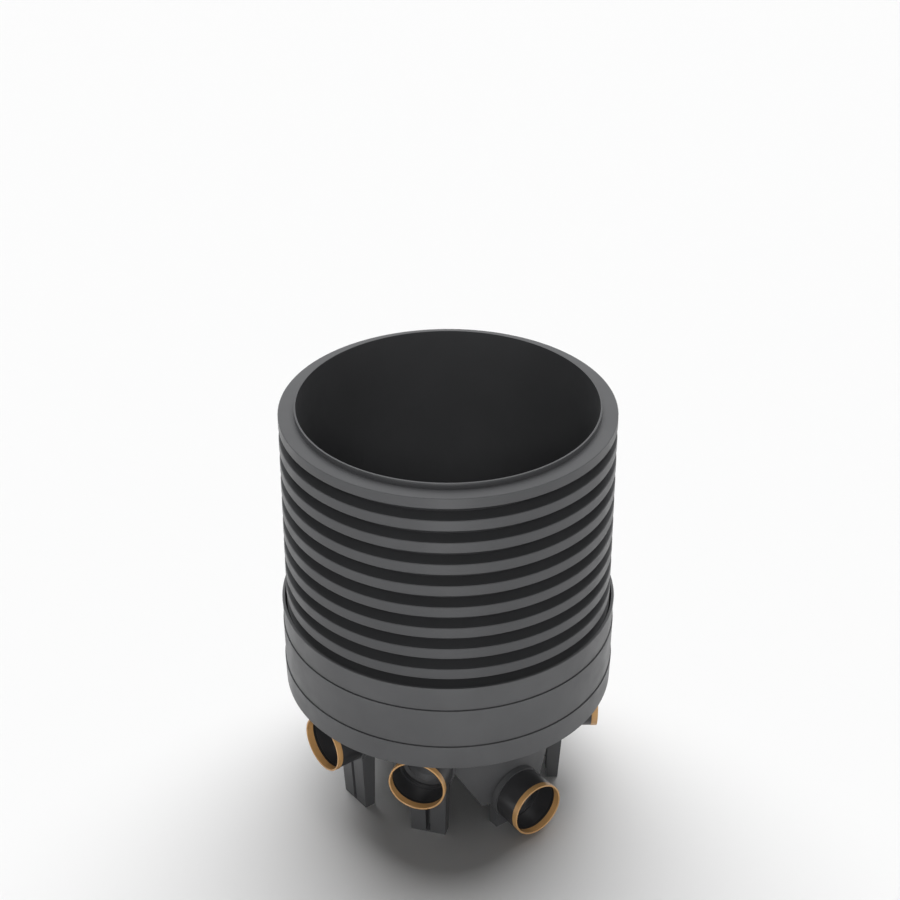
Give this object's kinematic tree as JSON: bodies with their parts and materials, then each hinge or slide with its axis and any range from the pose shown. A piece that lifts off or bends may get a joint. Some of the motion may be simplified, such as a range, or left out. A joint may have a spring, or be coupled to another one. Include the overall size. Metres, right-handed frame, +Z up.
{
  "type": "drain inspection chamber",
  "caption": "Plastic drain inspection chamber: a benched base with a straight channel, side inlets and pipe sockets under a wide corrugated riser with an open top.",
  "frame": {"origin": "on the floor plane under the vertical axis of the riser and of the base's cup", "axes": "+Z up along the riser's axis; +X along the main channel towards the outlet; +Y to the left of the flow"},
  "size_m": [0.688, 0.6878, 0.9044],
  "materials": {
    "base_plastic": "satin moulded plastic, near black",
    "riser_plastic": "satin moulded plastic, near black",
    "socket_plastic": "smooth black plastic, a little glossier than the base",
    "seal_rubber": "matt black rubber",
    "ring_plastic": "smooth brown plastic"
  },
  "bodies": {
    "base": {"chamber_base": "base_plastic", "outlet_socket": "socket_plastic", "outlet_seal": "seal_rubber", "outlet_ring": "ring_plastic", "left_side_inlet_socket": "socket_plastic", "left_side_inlet_seal": "seal_rubber", "left_side_inlet_ring": "ring_plastic", "left_branch_inlet_socket": "socket_plastic", "left_branch_inlet_seal": "seal_rubber", "left_branch_inlet_ring": "ring_plastic", "main_inlet_socket": "socket_plastic", "main_inlet_seal": "seal_rubber", "main_inlet_ring": "ring_plastic", "right_branch_inlet_socket": "socket_plastic", "right_branch_inlet_seal": "seal_rubber", "right_branch_inlet_ring": "ring_plastic", "right_side_inlet_socket": "socket_plastic", "right_side_inlet_seal": "seal_rubber", "right_side_inlet_ring": "ring_plastic"},
    "riser": {"riser": "riser_plastic"}
  },
  "joints": [
    {"name": "riser_lift", "type": "slide", "parent": "base", "child": "riser", "axis": [0, 0, 1], "range_m": [0, 0.6485]}
  ]
}
